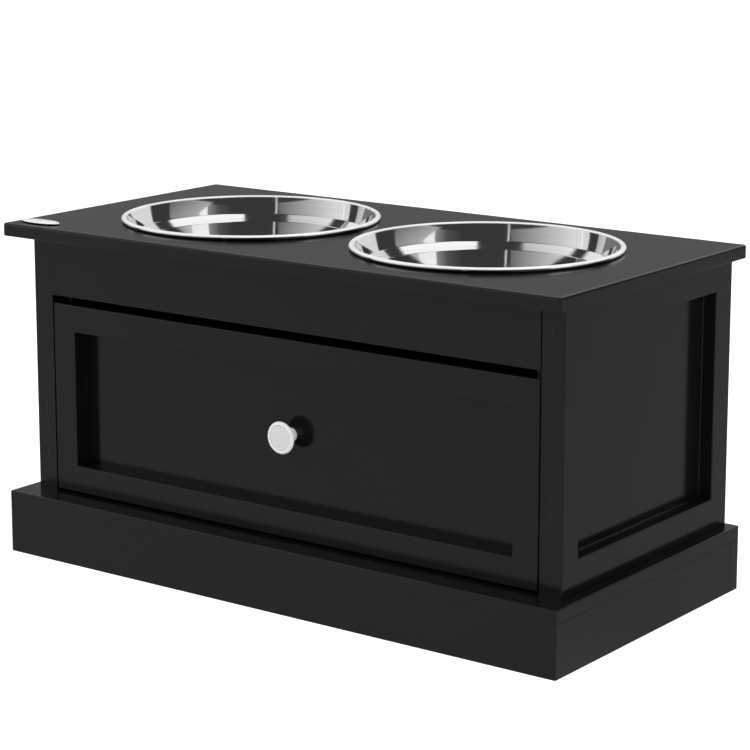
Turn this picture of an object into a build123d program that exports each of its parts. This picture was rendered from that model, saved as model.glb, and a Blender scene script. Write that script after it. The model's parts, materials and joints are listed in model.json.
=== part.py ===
from build123d import *

import os

# Elevated dog feeder: a framed cabinet with one drawer carries two steel bowls in its top.
# X runs to the right, Y to the back and Z up. The origin is on the ground, under the middle
# of the plinth. Millimetres.

os.makedirs("parts", exist_ok=True)

# ---------------------------------------------------------------- outside
width = 600.0  # plinth and top board, left to right
depth = 300.0  # plinth and top board, front to back
plinth_height = 58.0
body_height = 240.0  # from the plinth to the top board
side_setback = 12.0  # body inside the ends of the plinth
front_setback = 27.0  # body behind the front of the plinth
back_setback = 3.0

# ---------------------------------------------------------------- boards
top_board = 12.0
cap_board = 12.0  # lies on the skirts and is the floor of the cabinet
skirt_board = 14.0
side_outer_board = 12.0  # the frame that shows
side_inner_board = 10.0  # the frame behind it
side_panel_board = 12.0
apron_board = 12.0
back_board = 9.0
face_outer_board = 12.0  # drawer face, the frame that shows
face_inner_board = 4.0
face_panel_board = 9.0
drawer_board = 12.0  # sides and back of the drawer
drawer_bottom_board = 4.0
arris = 1.0  # rounding of a painted edge
top_arris = 2.2  # rounding of the top board's upper edges
seam_arris = 0.5  # rounding where two painted boards meet

# ---------------------------------------------------------------- frames
side_stile = 24.0
side_back_stile = 27.0
side_top_rail = 27.0
side_bottom_rail = 28.0
side_panel_sink = 13.8  # from the outer frame's face to the raised field of the panel
face_stile = 25.0
face_rail = 25.0
frame_step = 1.0  # the inner frame of a side stands this far inside the outer frame's opening
frame_arris = 0.8
face_frame_step = 0.3  # the same on the drawer face
apron_height = 55.3
apron_fit = 1.0  # the apron butts on the left side and has its fitting gap at the right

# ---------------------------------------------------------------- drawer
face_side_gap = 1.3
face_floor_gap = 1.8
lift_gap = 7.0  # above the face, lets the drawer be lifted off its rollers
stop_gap = 0.5  # between the closed face and the edge of the side panels
face_inner_gap = 1.5  # between the inner frame of the face and the side panels
drawer_lift = 12.0  # underside of the drawer sides above the plinth
drawer_side_height = 135.0
drawer_back_gap = 14.0  # between the closed drawer and the back panel
groove = 4.0
groove_height = 8.0  # drawer bottom above the lower edge of its sides
board_fit = 0.2

# ---------------------------------------------------------------- bowls
bowl_gap = 23.0  # between the two rims
bowl_end_margin = 50.7  # rim to the end of the board, at least
bowl_front_margin = 31.1  # rim to the front of the board, at least
bowl_bead_radius = 2.0
bowl_seat_gap = 0.3  # the curved bead rests this close to the board
bowl_sheet = 0.8
bowl_rim_band = 11.4  # rim to shoulder, seen from above
bowl_shoulder_depth = 16.5  # below the rim
bowl_ledge = 7.0  # shoulder to the top of the wall
bowl_wall_depth = 23.0
bowl_wall_taper = 7.5
bowl_depth = 63.0
bowl_corner_bend = 12.0
bowl_crease_bend = 1.5
bowl_lip_bend = 1.3
bowl_base_band = 23.0  # foot to the raised base
bowl_base_rise = 1.6
bowl_hole_gap = 0.7  # hole outside the lip, inside the bead

# ---------------------------------------------------------------- knob
knob_length = 16.4
knob_head_diameter = 29.2
knob_face_diameter = 22.2
knob_neck_diameter = 8.0
knob_foot_diameter = 12.6
knob_head_thickness = 5.8
knob_edge_round = 3.3  # front of the head to its widest line
knob_back_sink = 1.0  # hollow behind the head, round the neck
knob_face_sink = 0.7
knob_screw_diameter = 4.0
knob_screw_depth = 10.5

# ---------------------------------------------------------------- runners
runner_space = 12.7  # between the drawer side and the side panel
runner_sheet = 1.1
runner_bend = 1.8
runner_back_gap = 12.0  # between the cabinet runner and the back panel
runner_start_gap = 3.0  # between the closed face and the cabinet runner
runner_rise = 2.0  # track of the cabinet runner above the lower edge of the drawer side
runner_lip_gap = 1.0
runner_headroom = 1.5
roller_radius = 7.5
roller_width = 6.0
roller_side_gap = 1.78  # between a roller and the web of the drawer runner
roller_bevel = 0.6
roller_gap = 0.3  # a roller and the flange that it carries
roller_track_gap = 0.5  # cabinet roller above its own track
roller_end = 10.0  # roller centre from the end of its runner
runner_screw_places = (0.16, 0.5, 0.84)  # shares of the runner's length
pin_diameter = 4.0
pin_head_diameter = 7.0
pin_head_height = 0.7
pin_fit = 0.1
pin_side_play = 0.2
pin_shoulder = 1.3  # of the collar beyond the pin, all round
flange_clearance = 0.4  # between a drawer runner's flange and the screw heads beside it

# ---------------------------------------------------------------- fasteners
screw_fit = 0.1
base_screw_places = (0.15, 0.5, 0.83)  # shares of the side panel's depth
back_screw_places = (0.2, 0.5, 0.8)  # shares of the body's height
joint_places = (0.3, 0.7)  # dowels and screws, shares of the height of the board's end
long_screw_diameter = 4.0
long_screw_head = 8.0
base_screw_length = 30.0
back_screw_length = 28.0
block_screw_length = 34.0
drawer_screw_length = 30.0
short_screw_diameter = 3.5
short_screw_head = 7.0
short_screw_head_height = 1.4
short_screw_length = 9.0
back_bracket_screw_length = 7.25  # shorter, because the back panel is thin
runner_leg_screw_length = 7.5
dowel_diameter = 6.0
apron_dowel_length = 24.0
apron_dowel_depth = 9.0  # in the side frame
drawer_dowel_length = 22.0
drawer_dowel_depth = 6.0  # in the face panel
dowel_end_gap = 0.5
corner_block = 24.0
corner_block_height = 38.0
block_screw_low = 12.7  # screws into the front and back skirts
block_screw_high = 25.3  # screws into the side skirts
bracket_leg = 20.0
bracket_screw_out = 12.0  # screw from the corner of its bracket
bracket_width = 16.0
bracket_sheet = 1.6
bracket_bend = 2.4
bracket_reach = 80.0  # side brackets, from the middle of the cabinet

# ---------------------------------------------------------------- faces that follow
body_right = width / 2 - side_setback
body_front = front_setback - depth / 2
body_back = depth / 2 - back_setback
body_bottom = plinth_height
body_top = plinth_height + body_height
skirt_height = plinth_height - cap_board
top_face = body_top + top_board

side_seam = body_right - side_outer_board
side_panel_face = side_seam - side_inner_board
cabinet_half = side_panel_face - side_panel_board
side_screw_x = cabinet_half + side_panel_board / 2

face_back = body_front + face_outer_board
panel_front = face_back + face_inner_board
box_front = panel_front + face_panel_board
side_panel_front = face_back + stop_gap
back_panel_front = body_back - back_board

apron_bottom = body_top - apron_height
apron_back = body_front + apron_board
face_half = side_panel_face - face_side_gap
face_bottom = body_bottom + face_floor_gap
face_top = apron_bottom - lift_gap
face_inner_half = cabinet_half - face_inner_gap

box_half = cabinet_half - runner_space
box_inside = box_half - drawer_board
box_bottom = body_bottom + drawer_lift
box_top = box_bottom + drawer_side_height
box_back = back_panel_front - drawer_back_gap
box_back_front = box_back - drawer_board
groove_bottom = box_bottom + groove_height
groove_top = groove_bottom + drawer_bottom_board + board_fit

knob_z = (face_bottom + face_top) / 2

# The bowls are as large as the length and the depth of the board allow.
bowl_room_x = (width - bowl_gap) / 4 - bowl_end_margin / 2
bowl_room_y = depth / 2 - bowl_front_margin
bowl_rim_radius = min(bowl_room_x, bowl_room_y)
bowl_spacing = bowl_gap + 2 * bowl_room_x
bowl_shoulder_radius = bowl_rim_radius - bowl_rim_band
bowl_wall_radius = bowl_shoulder_radius - bowl_ledge
bowl_foot_radius = bowl_wall_radius - bowl_wall_taper
bowl_base_radius = bowl_foot_radius - bowl_base_band

# Where a cylinder or cone stands on the place that it is given.
above = (Align.CENTER, Align.CENTER, Align.MIN)
below = (Align.CENTER, Align.CENTER, Align.MAX)

right = (1, 0, 0)
left = (-1, 0, 0)
forward = (0, -1, 0)
backward = (0, 1, 0)
up = (0, 0, 1)
down = (0, 0, -1)


def upright(y):
    """Plane that faces the front at a given depth; its X is X and its Y is Z."""
    return Plane.XZ.offset(-y)


def save(piece, name):
    piece.part.label = name
    export_step(piece.part, f"parts/{name}.step")


def save_pair(piece, name):
    """The piece at the right, and its mirror image at the left."""
    save(piece, f"{name}_right")
    with BuildPart() as mirrored:
        mirror(piece.part, about=Plane.YZ)
    save(mirrored, f"{name}_left")


def area(low, high, mode=Mode.ADD):
    """A rectangle between two corners of the sketch."""
    with Locations(((low[0] + high[0]) / 2, (low[1] + high[1]) / 2)):
        Rectangle(high[0] - low[0], high[1] - low[1], mode=mode)


def slab(low, high, mode=Mode.ADD):
    """A board, or a cut for one, between two corners."""
    middle = [(a + b) / 2 for a, b in zip(low, high)]
    with Locations(tuple(middle)):
        Box(*[b - a for a, b in zip(low, high)], mode=mode)


def bent_sheet(points, sheet, bend):
    """Section of a bent sheet, on the left of a line through the points."""
    with BuildLine() as line:
        FilletPolyline(*points, radius=bend)
        offset(amount=sheet, side=Side.LEFT)
    make_face(line.edges())


def drill(seat, out, diameter, length):
    """A plain hole that opens at the seat, towards out."""
    with Locations(Plane(origin=seat, z_dir=out)):
        Hole(diameter / 2, length)


def sink(seat, out, length):
    """A countersunk hole for a long screw."""
    with Locations(Plane(origin=seat, z_dir=out)):
        CounterSinkHole((long_screw_diameter + screw_fit) / 2, long_screw_head / 2, length, 90)


def long_screw(seat, way, length):
    """A countersunk screw, its head flush with the seat."""
    head_radius = (long_screw_head - screw_fit) / 2
    radius = long_screw_diameter / 2
    with Locations(Plane(origin=seat, z_dir=way)):
        Cylinder(radius, length, align=above)
        Cone(head_radius, radius, head_radius - radius, align=above)


def pan_screw(seat, way, diameter, length):
    """A screw whose head lies on the seat."""
    with Locations(Plane(origin=seat, z_dir=way)):
        Cylinder(diameter / 2, length, align=above)
        Cylinder(short_screw_head / 2, short_screw_head_height, align=below)


# ================================================================ plinth
skirt_inside_x = width / 2 - skirt_board
skirt_inside_y = depth / 2 - skirt_board
side_panel_depth = back_panel_front - side_panel_front
base_screw_y = [side_panel_front + share * side_panel_depth for share in base_screw_places]
block_middle_x = skirt_inside_x - corner_block / 2
block_middle_y = skirt_inside_y - corner_block / 2
block_screw_hole = block_screw_length - corner_block + dowel_end_gap

with BuildPart() as plinth_cap:
    slab((-width / 2, -depth / 2, skirt_height), (width / 2, depth / 2, plinth_height))
    fillet(plinth_cap.edges().filter_by(Axis.Z), arris)
    fillet(plinth_cap.faces().sort_by(Axis.Z)[-1].edges(), arris)
    fillet(plinth_cap.faces().sort_by(Axis.Z)[0].edges(), seam_arris)
    for side in (-1, 1):
        for y in base_screw_y:
            sink((side * side_screw_x, y, skirt_height), down, cap_board)
save(plinth_cap, "plinth_cap")

for name, side in (("front", -1), ("back", 1)):
    with BuildPart() as skirt:
        slab((-width / 2, min(side * skirt_inside_y, side * depth / 2), 0),
             (width / 2, max(side * skirt_inside_y, side * depth / 2), skirt_height))
        outer = 0 if side < 0 else -1
        fillet(skirt.faces().sort_by(Axis.Y)[outer].edges().filter_by(Axis.Z), arris)
        fillet(skirt.faces().sort_by(Axis.Y)[outer].edges().sort_by(Axis.Z)[-1], seam_arris)
        for end in (-1, 1):
            drill((end * block_middle_x, side * skirt_inside_y, block_screw_low),
                  (0, -side, 0), long_screw_diameter + screw_fit, block_screw_hole)
    save(skirt, f"skirt_{name}")

with BuildPart() as skirt_side:
    slab((skirt_inside_x, -skirt_inside_y + board_fit, 0),
         (width / 2, skirt_inside_y - board_fit, skirt_height))
    fillet(skirt_side.faces().sort_by(Axis.X)[-1].edges().filter_by(Axis.Z), seam_arris)
    fillet(skirt_side.faces().sort_by(Axis.X)[-1].edges().sort_by(Axis.Z)[-1], seam_arris)
    for end in (-1, 1):
        drill((skirt_inside_x, end * block_middle_y, block_screw_high),
              left, long_screw_diameter + screw_fit, block_screw_hole)
save_pair(skirt_side, "skirt")

block_low = skirt_height - corner_block_height
with BuildPart() as corner_blocks:
    for x in (-1, 1):
        for y in (-1, 1):
            inner_x = x * (skirt_inside_x - corner_block)
            inner_y = y * (skirt_inside_y - corner_block)
            slab((min(inner_x, x * skirt_inside_x), min(inner_y, y * skirt_inside_y), block_low),
                 (max(inner_x, x * skirt_inside_x), max(inner_y, y * skirt_inside_y), skirt_height))
            sink((x * block_middle_x, inner_y, block_screw_low), (0, -y, 0), corner_block)
            sink((inner_x, y * block_middle_y, block_screw_high), (-x, 0, 0), corner_block)
save(corner_blocks, "corner_blocks")

with BuildPart() as block_screws:
    for x in (-1, 1):
        for y in (-1, 1):
            long_screw((x * block_middle_x, y * (skirt_inside_y - corner_block), block_screw_low),
                       (0, y, 0), block_screw_length)
            long_screw((x * (skirt_inside_x - corner_block), y * block_middle_y, block_screw_high),
                       (x, 0, 0), block_screw_length)
save(block_screws, "block_screws")

with BuildPart() as base_screws:
    for side in (-1, 1):
        for y in base_screw_y:
            long_screw((side * side_screw_x, y, skirt_height), up, base_screw_length)
save(base_screws, "base_screws")

# ================================================================ sides
opening_low = (body_front + side_stile, body_bottom + side_bottom_rail)
opening_high = (body_back - side_back_stile, body_top - side_top_rail)
inner_low = (opening_low[0] + frame_step, opening_low[1] + frame_step)
inner_high = (opening_high[0] - frame_step, opening_high[1] - frame_step)
dowel_y = body_front + apron_board / 2
dowel_z = [apron_bottom + share * apron_height for share in joint_places]

with BuildPart() as side_outer_frame:
    with BuildSketch(Plane.YZ.offset(side_seam)):
        area((body_front, body_bottom), (body_back, body_top))
        area(opening_low, opening_high, Mode.SUBTRACT)
    extrude(amount=side_outer_board)
    fillet(side_outer_frame.faces().sort_by(Axis.X)[-1].edges(), arris)
save_pair(side_outer_frame, "side_outer_frame")

with BuildPart() as side_inner_frame:
    with BuildSketch(Plane.YZ.offset(side_panel_face)):
        area((body_front, body_bottom), (body_back, body_top))
        area(inner_low, inner_high, Mode.SUBTRACT)
    extrude(amount=side_inner_board)
    fillet(side_inner_frame.faces().sort_by(Axis.X)[-1].inner_wires()[0].edges(), frame_arris)
    front_edges = side_inner_frame.edges().filter_by(Axis.Z).group_by(Axis.Y)[0]
    fillet(front_edges.sort_by(Axis.X)[0], seam_arris)
    for z in dowel_z:
        drill((side_panel_face, dowel_y, z), left, dowel_diameter + screw_fit,
              apron_dowel_depth + dowel_end_gap / 2)
save_pair(side_inner_frame, "side_inner_frame")

runner_front = box_front + runner_start_gap
runner_length = back_panel_front - runner_back_gap - runner_front
runner_screw_y = [runner_front + share * runner_length for share in runner_screw_places]
back_screw_z = [body_bottom + share * body_height for share in back_screw_places]
runner_floor = box_bottom + runner_rise
cabinet_roller_z = runner_floor + roller_track_gap + roller_radius
bracket_low = body_top - bracket_screw_out

with BuildPart() as side_panel:
    slab((cabinet_half, side_panel_front, body_bottom), (side_panel_face, back_panel_front, body_top))
    slab((side_panel_face, inner_low[0] + board_fit, inner_low[1] + board_fit),
         (body_right - side_panel_sink, inner_high[0] - board_fit, inner_high[1] - board_fit))
    for y in base_screw_y:
        drill((side_screw_x, y, body_bottom), down, long_screw_diameter + screw_fit,
              base_screw_length - cap_board + dowel_end_gap)
    for z in back_screw_z:
        drill((side_screw_x, back_panel_front, z), backward, long_screw_diameter + screw_fit,
              back_screw_length - back_board + dowel_end_gap)
    for y in runner_screw_y:
        drill((cabinet_half, y, cabinet_roller_z), left, short_screw_diameter + screw_fit,
              short_screw_length - runner_sheet + dowel_end_gap)
    for y in (-bracket_reach, bracket_reach):
        drill((cabinet_half, y, bracket_low), left, short_screw_diameter + screw_fit,
              short_screw_length - bracket_sheet + dowel_end_gap)
save_pair(side_panel, "side_panel")

# ================================================================ apron and back
with BuildPart() as apron:
    slab((-side_panel_face, body_front, apron_bottom), (side_panel_face - apron_fit, apron_back, body_top))
    front_face = apron.faces().sort_by(Axis.Y)[0]
    fillet(front_face.edges().sort_by(Axis.Z)[0], arris)
    fillet(apron.faces().sort_by(Axis.Y)[0].edges().sort_by(Axis.X)[-1], seam_arris)
    for end, out in ((-side_panel_face, left), (side_panel_face - apron_fit, right)):
        for z in dowel_z:
            drill((end, dowel_y, z), out, dowel_diameter + screw_fit,
                  apron_dowel_length - apron_dowel_depth + dowel_end_gap)
    drill((0, apron_back, bracket_low), backward, short_screw_diameter + screw_fit,
          short_screw_length - bracket_sheet + dowel_end_gap)
save(apron, "apron")

with BuildPart() as apron_dowels:
    for side in (-1, 1):
        for z in dowel_z:
            dowel_end = (side * (side_panel_face + apron_dowel_depth), dowel_y, z)
            with Locations(Plane(origin=dowel_end, z_dir=(-side, 0, 0))):
                Cylinder(dowel_diameter / 2, apron_dowel_length, align=above)
save(apron_dowels, "apron_dowels")

with BuildPart() as back_panel:
    slab((-side_panel_face + board_fit, back_panel_front, body_bottom),
         (side_panel_face - board_fit, body_back, body_top))
    fillet(back_panel.faces().sort_by(Axis.Y)[-1].edges().filter_by(Axis.Z), seam_arris)
    for side in (-1, 1):
        for z in back_screw_z:
            sink((side * side_screw_x, body_back, z), backward, back_board)
    drill((0, back_panel_front, bracket_low), forward, short_screw_diameter + screw_fit,
          back_bracket_screw_length - bracket_sheet + dowel_end_gap)
save(back_panel, "back_panel")

with BuildPart() as back_screws:
    for side in (-1, 1):
        for z in back_screw_z:
            long_screw((side * side_screw_x, body_back, z), forward, back_screw_length)
save(back_screws, "back_screws")

# ================================================================ top board and its brackets
bowl_bead_middle = bowl_rim_radius - bowl_bead_radius
bowl_lip_radius = bowl_bead_middle - bowl_bead_radius - bowl_sheet / 2
bowl_hole_radius = bowl_lip_radius + bowl_hole_gap
# Each bracket: foot of the corner that it fills, and the way into the cabinet from there.
bracket_places = [((side * cabinet_half, y), (-side, 0))
                  for side in (-1, 1) for y in (-bracket_reach, bracket_reach)]
bracket_places += [((0, apron_back), (0, 1)), ((0, back_panel_front), (0, -1))]

with BuildPart() as top:
    slab((-width / 2, -depth / 2, body_top), (width / 2, depth / 2, top_face))
    fillet(top.edges().filter_by(Axis.Z), top_arris)
    fillet(top.faces().sort_by(Axis.Z)[-1].edges(), top_arris)
    fillet(top.faces().sort_by(Axis.Z)[0].edges(), arris)
    with Locations((-bowl_spacing / 2, 0, top_face), (bowl_spacing / 2, 0, top_face)):
        Hole(bowl_hole_radius, top_board)
    round_edges = top.edges().filter_by(GeomType.CIRCLE)
    fillet(round_edges.filter_by(lambda edge: edge.radius > bowl_hole_radius / 2), seam_arris)
    for (x, y), (into_x, into_y) in bracket_places:
        drill((x + into_x * bracket_screw_out, y + into_y * bracket_screw_out, body_top), down,
              short_screw_diameter + screw_fit, short_screw_length - bracket_sheet + dowel_end_gap)
save(top, "top_board")

with BuildPart() as top_brackets:
    for (x, y), (into_x, into_y) in bracket_places:
        corner = Plane(origin=(x, y, body_top), x_dir=(into_x, into_y, 0), z_dir=(into_y, -into_x, 0))
        with BuildSketch(corner):
            with BuildLine():
                FilletPolyline((0, -bracket_leg), (0, 0), (bracket_leg, 0), radius=bracket_bend)
                offset(amount=bracket_sheet, side=Side.RIGHT)
            make_face()
        extrude(amount=bracket_width / 2, both=True)
        drill((x + into_x * bracket_sheet, y + into_y * bracket_sheet, bracket_low), (into_x, into_y, 0),
              short_screw_diameter + screw_fit, bracket_sheet)
        drill((x + into_x * bracket_screw_out, y + into_y * bracket_screw_out, body_top - bracket_sheet),
              down, short_screw_diameter + screw_fit, bracket_sheet)
save(top_brackets, "top_brackets")

with BuildPart() as bracket_screws:
    for (x, y), (into_x, into_y) in bracket_places:
        upright_length = back_bracket_screw_length if into_y < 0 else short_screw_length
        pan_screw((x + into_x * bracket_sheet, y + into_y * bracket_sheet, bracket_low),
                  (-into_x, -into_y, 0), short_screw_diameter, upright_length)
        pan_screw((x + into_x * bracket_screw_out, y + into_y * bracket_screw_out, body_top - bracket_sheet),
                  up, short_screw_diameter, short_screw_length)
save(bracket_screws, "bracket_screws")

# ================================================================ drawer face
with BuildPart() as face_outer_frame:
    with BuildSketch(upright(face_back)):
        area((-face_half, face_bottom), (face_half, face_top))
        area((-face_half + face_stile, face_bottom + face_rail),
             (face_half - face_stile, face_top - face_rail), Mode.SUBTRACT)
    extrude(amount=face_outer_board)
    fillet(face_outer_frame.faces().sort_by(Axis.Y)[0].edges(), arris)
save(face_outer_frame, "drawer_outer_frame")

with BuildPart() as face_inner_frame:
    with BuildSketch(upright(panel_front)):
        area((-face_inner_half, face_bottom), (face_inner_half, face_top))
        area((-face_half + face_stile + face_frame_step, face_bottom + face_rail + face_frame_step),
             (face_half - face_stile - face_frame_step, face_top - face_rail - face_frame_step),
             Mode.SUBTRACT)
    extrude(amount=face_inner_board)
save(face_inner_frame, "drawer_inner_frame")

drawer_joint_z = [box_bottom + share * drawer_side_height for share in joint_places]
side_middle = box_inside + drawer_board / 2

with BuildPart() as face_panel:
    slab((-face_inner_half, panel_front, face_bottom), (face_inner_half, box_front, face_top))
    slab((-box_inside - groove, box_front - groove, groove_bottom),
         (box_inside + groove, box_front, groove_top), Mode.SUBTRACT)
    drill((0, panel_front, knob_z), forward, knob_screw_diameter + screw_fit, face_panel_board)
    for side in (-1, 1):
        for z in drawer_joint_z:
            drill((side * side_middle, box_front, z), backward, dowel_diameter + screw_fit,
                  drawer_dowel_depth + dowel_end_gap)
save(face_panel, "drawer_panel")

# ================================================================ drawer box
drawer_leg_bottom = box_bottom - runner_sheet

with BuildPart() as drawer_side:
    slab((box_inside, box_front, box_bottom), (box_half, box_back, box_top))
    fillet(drawer_side.faces().sort_by(Axis.Z)[-1].edges().filter_by(Axis.Y), arris)
    lower_edges = drawer_side.edges().filter_by(Axis.Y).group_by(Axis.Z)[0]
    fillet(lower_edges.sort_by(Axis.X)[-1], runner_bend)
    slab((box_inside, box_front, groove_bottom), (box_inside + groove, box_back_front + groove, groove_top),
         Mode.SUBTRACT)
    for z in drawer_joint_z:
        drill((side_middle, box_front, z), forward, dowel_diameter + screw_fit,
              drawer_dowel_length - drawer_dowel_depth + dowel_end_gap)
        sink((box_half, box_back - drawer_board / 2, z), right, drawer_board)
    for y in runner_screw_y:
        drill((side_middle, y, box_bottom), down, short_screw_diameter + screw_fit,
              runner_leg_screw_length - runner_sheet + dowel_end_gap)
save_pair(drawer_side, "drawer_side")

with BuildPart() as drawer_back:
    slab((-box_inside, box_back_front, box_bottom), (box_inside, box_back, box_top))
    fillet(drawer_back.faces().sort_by(Axis.Z)[-1].edges().filter_by(Axis.X), arris)
    slab((-box_inside, box_back_front, groove_bottom), (box_inside, box_back_front + groove, groove_top),
         Mode.SUBTRACT)
    for side in (-1, 1):
        for z in drawer_joint_z:
            drill((side * box_inside, box_back - drawer_board / 2, z), (side, 0, 0),
                  long_screw_diameter + screw_fit, drawer_screw_length - drawer_board + dowel_end_gap)
save(drawer_back, "drawer_back")

with BuildPart() as drawer_bottom:
    tongue = groove - board_fit
    slab((-box_inside - tongue, box_front - tongue, groove_bottom),
         (box_inside + tongue, box_back_front + tongue, groove_bottom + drawer_bottom_board))
save(drawer_bottom, "drawer_bottom")

with BuildPart() as drawer_dowels:
    for side in (-1, 1):
        for z in drawer_joint_z:
            dowel_end = (side * side_middle, box_front - drawer_dowel_depth, z)
            with Locations(Plane(origin=dowel_end, z_dir=backward)):
                Cylinder(dowel_diameter / 2, drawer_dowel_length, align=above)
save(drawer_dowels, "drawer_dowels")

with BuildPart() as drawer_screws:
    for side in (-1, 1):
        for z in drawer_joint_z:
            long_screw((side * box_half, box_back - drawer_board / 2, z), (-side, 0, 0), drawer_screw_length)
save(drawer_screws, "drawer_screws")

# ================================================================ knob
knob_front = panel_front - knob_length
head_back = knob_front + knob_head_thickness
head_radius = knob_head_diameter / 2
face_radius = knob_face_diameter / 2
neck_radius = knob_neck_diameter / 2
foot_radius = knob_foot_diameter / 2

with BuildPart() as knob:
    with BuildSketch(Plane.XY.offset(knob_z)):
        with BuildLine():
            face_line = Line((0, knob_front + knob_face_sink), (face_radius, knob_front + knob_face_sink))
            step = Line(face_line @ 1, (face_radius + knob_face_sink / 2, knob_front))
            ring = Line(step @ 1, (face_radius + knob_face_sink / 2 + arris, knob_front))
            edge = Spline(ring @ 1, (head_radius, knob_front + knob_edge_round),
                          tangents=((1, 0.25), (0, 1)))
            under = Line(edge @ 1, (head_radius - arris, head_back))
            hollow = Line(under @ 1, (neck_radius, head_back - knob_back_sink))
            neck = Spline(hollow @ 1, (foot_radius, panel_front), tangents=((0, 1), (0.8, 0.6)))
            foot = Line(neck @ 1, (0, panel_front))
            Line(foot @ 1, face_line @ 0)
        make_face()
    revolve(axis=Axis((0, 0, knob_z), backward))
    drill((0, panel_front, knob_z), backward, knob_screw_diameter + screw_fit, knob_screw_depth)
save(knob, "knob")

with BuildPart() as knob_screw:
    pan_screw((0, box_front, knob_z), forward, knob_screw_diameter,
              face_panel_board + knob_screw_depth - dowel_end_gap)
save(knob_screw, "knob_screw")

# ================================================================ runners
cabinet_web = cabinet_half - runner_sheet
drawer_web = box_half + runner_sheet
flange_bottom = cabinet_roller_z + roller_radius + roller_gap
flange_end = cabinet_web - short_screw_head_height - flange_clearance
runner_ceiling = flange_bottom + runner_sheet + runner_headroom
drawer_roller_z = runner_floor + roller_gap + roller_radius
cabinet_roller_y = runner_front + roller_end
drawer_roller_y = box_back - roller_end
roller_left = drawer_web + roller_side_gap
roller_right = roller_left + roller_width

with BuildPart() as cabinet_runner:
    with BuildSketch(upright(runner_front)):
        bent_sheet([(drawer_web + runner_lip_gap, runner_floor - runner_sheet),
                    (cabinet_half, runner_floor - runner_sheet),
                    (cabinet_half, runner_ceiling + runner_sheet),
                    (drawer_web + runner_lip_gap, runner_ceiling + runner_sheet)], runner_sheet, runner_bend)
    extrude(amount=-runner_length)
    drill((cabinet_web, cabinet_roller_y, cabinet_roller_z), left, pin_diameter + pin_fit, runner_sheet)
    for y in runner_screw_y:
        drill((cabinet_web, y, cabinet_roller_z), left, short_screw_diameter + screw_fit, runner_sheet)
save_pair(cabinet_runner, "cabinet_runner")

with BuildPart() as drawer_runner:
    with BuildSketch(upright(box_front + stop_gap)):
        bent_sheet([(box_inside + arris, drawer_leg_bottom), (drawer_web, drawer_leg_bottom),
                    (drawer_web, flange_bottom), (flange_end, flange_bottom)], runner_sheet, runner_bend)
    extrude(amount=-(box_back - box_front - stop_gap))
    drill((drawer_web, drawer_roller_y, drawer_roller_z), right, pin_diameter + pin_fit, runner_sheet)
    for y in runner_screw_y:
        drill((side_middle, y, drawer_leg_bottom), down, short_screw_diameter + screw_fit, runner_sheet)
save_pair(drawer_runner, "drawer_runner")

for name, y, z in (("cabinet", cabinet_roller_y, cabinet_roller_z),
                   ("drawer", drawer_roller_y, drawer_roller_z)):
    with BuildPart() as roller:
        with Locations(Plane(origin=(roller_left, y, z), z_dir=right)):
            Cylinder(roller_radius, roller_width, align=above)
        chamfer(roller.edges().filter_by(GeomType.CIRCLE), roller_bevel)
        drill((roller_right, y, z), right, pin_diameter + pin_fit, roller_width)
    save_pair(roller, f"{name}_roller")

shoulder_radius = pin_diameter / 2 + pin_shoulder
with BuildPart() as cabinet_roller_pins:
    for side in (-1, 1):
        head = roller_left - pin_side_play
        out = (side, 0, 0)
        with Locations(Plane(origin=(side * head, cabinet_roller_y, cabinet_roller_z), z_dir=out)):
            Cylinder(pin_diameter / 2, cabinet_half - head, align=above)
            Cylinder(pin_head_diameter / 2, pin_head_height, align=below)
        with Locations(Plane(origin=(side * cabinet_web, cabinet_roller_y, cabinet_roller_z), z_dir=out)):
            Cylinder(shoulder_radius, cabinet_web - roller_right - pin_side_play, align=below)
save(cabinet_roller_pins, "cabinet_roller_pins")

with BuildPart() as drawer_roller_pins:
    for side in (-1, 1):
        head = roller_right + pin_side_play
        inward = (-side, 0, 0)
        with Locations(Plane(origin=(side * head, drawer_roller_y, drawer_roller_z), z_dir=inward)):
            Cylinder(pin_diameter / 2, head - box_half, align=above)
            Cylinder(pin_head_diameter / 2, pin_head_height, align=below)
        with Locations(Plane(origin=(side * drawer_web, drawer_roller_y, drawer_roller_z), z_dir=inward)):
            Cylinder(shoulder_radius, roller_left - drawer_web - pin_side_play, align=below)
save(drawer_roller_pins, "drawer_roller_pins")

with BuildPart() as cabinet_runner_screws:
    for side in (-1, 1):
        for y in runner_screw_y:
            pan_screw((side * cabinet_web, y, cabinet_roller_z), (side, 0, 0),
                      short_screw_diameter, short_screw_length)
save(cabinet_runner_screws, "cabinet_runner_screws")

with BuildPart() as drawer_runner_screws:
    for side in (-1, 1):
        for y in runner_screw_y:
            pan_screw((side * side_middle, y, drawer_leg_bottom), up,
                      short_screw_diameter, runner_leg_screw_length)
save(drawer_runner_screws, "drawer_runner_screws")

# ================================================================ bowls
bead_z = top_face + bowl_seat_gap + bowl_bead_radius
rim_z = bead_z + bowl_bead_radius
shoulder_z = rim_z - bowl_shoulder_depth
wall_z = rim_z - bowl_wall_depth
floor_z = rim_z - bowl_depth

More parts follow.
